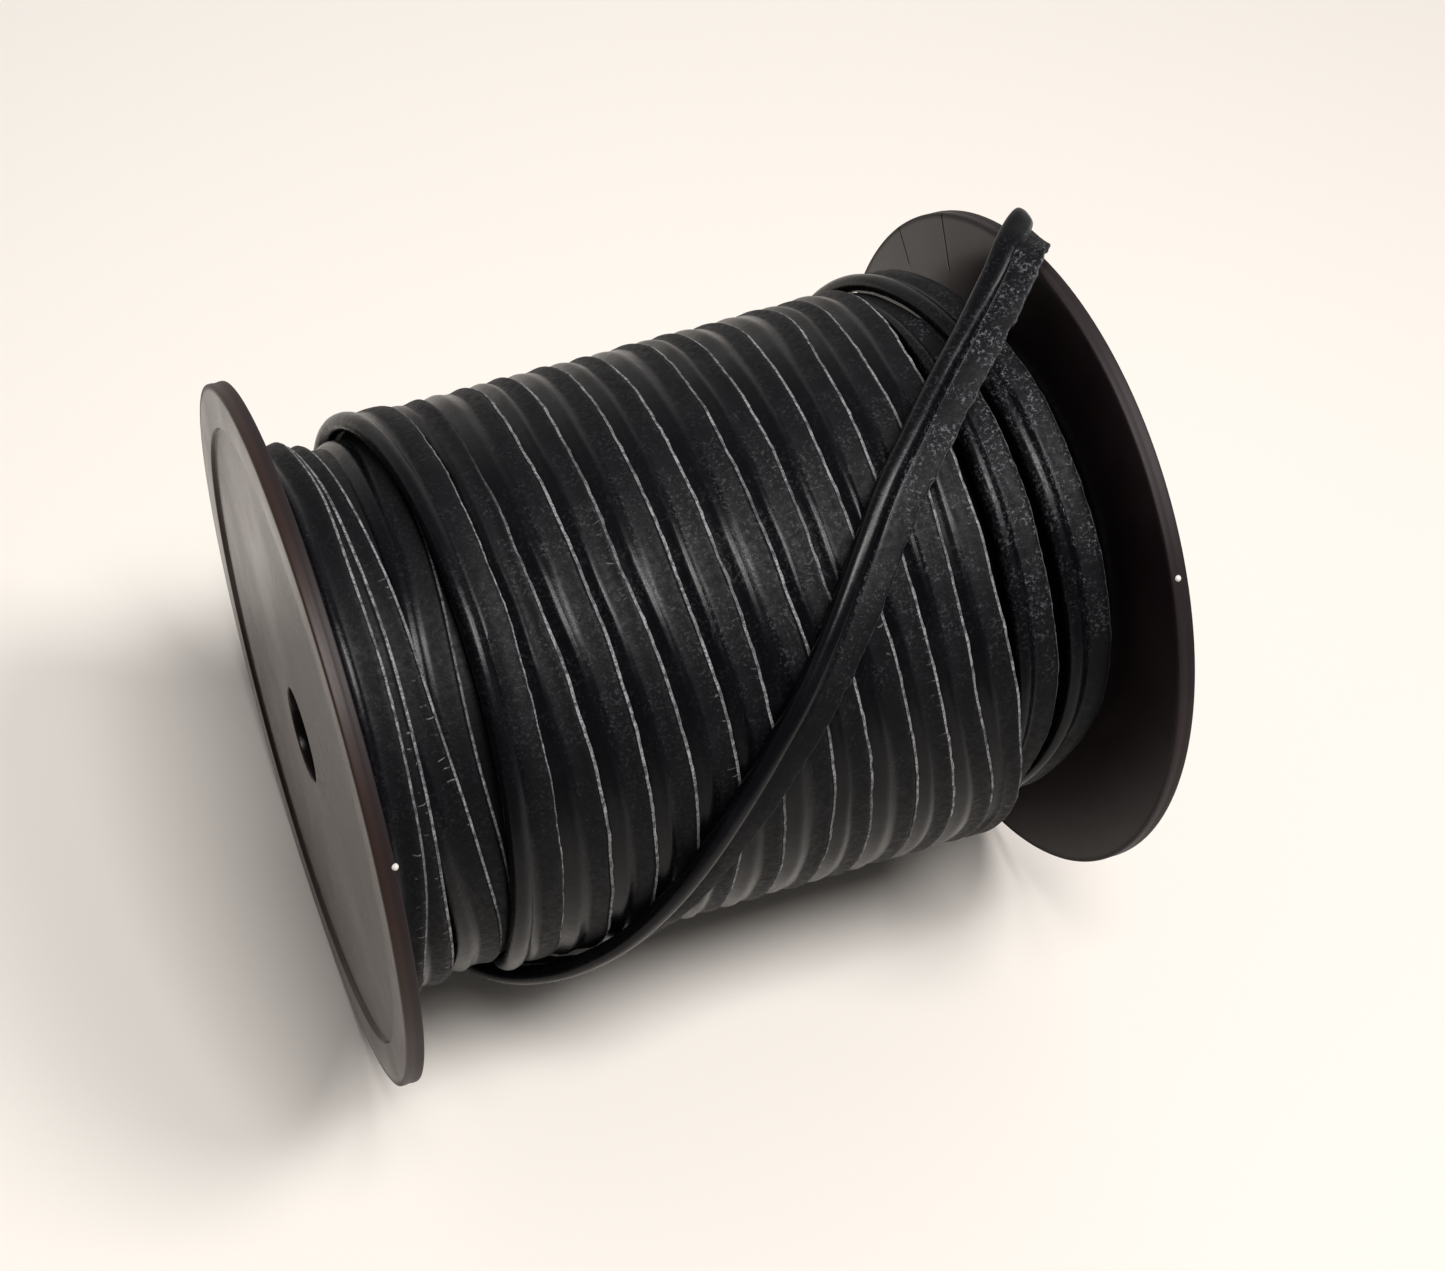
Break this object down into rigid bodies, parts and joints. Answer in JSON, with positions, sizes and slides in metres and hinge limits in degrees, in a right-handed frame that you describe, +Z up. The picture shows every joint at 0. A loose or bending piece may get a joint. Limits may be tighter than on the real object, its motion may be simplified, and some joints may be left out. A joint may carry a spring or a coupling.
{
  "type": "reel of leather piping",
  "caption": "Plastic reel with two round flanges and a spindle bore, wound with flat corded leather piping whose free end crosses the winding and hooks over one rim.",
  "frame": {"origin": "middle of the reel's footprint, on the surface that its two rims stand on", "axes": "+X along the reel's axis from the left flange to the right flange, +Z up, -Y the front"},
  "size_m": [0.182, 0.1598, 0.1623],
  "materials": {
    "reel_plastic": "satin moulded, dark aubergine black",
    "piping_leather": "smooth black grain with a soft sheen and raw grey cut edges",
    "filler_cord": "twisted cotton cord"
  },
  "bodies": {
    "root": {"left_flange": "reel_plastic", "right_flange": "reel_plastic", "barrel": "reel_plastic", "piping_lower_layers": "piping_leather", "piping_top_layer": "piping_leather", "piping_tail_cover": "piping_leather", "piping_tail_filler": "filler_cord"}
  },
  "joints": []
}
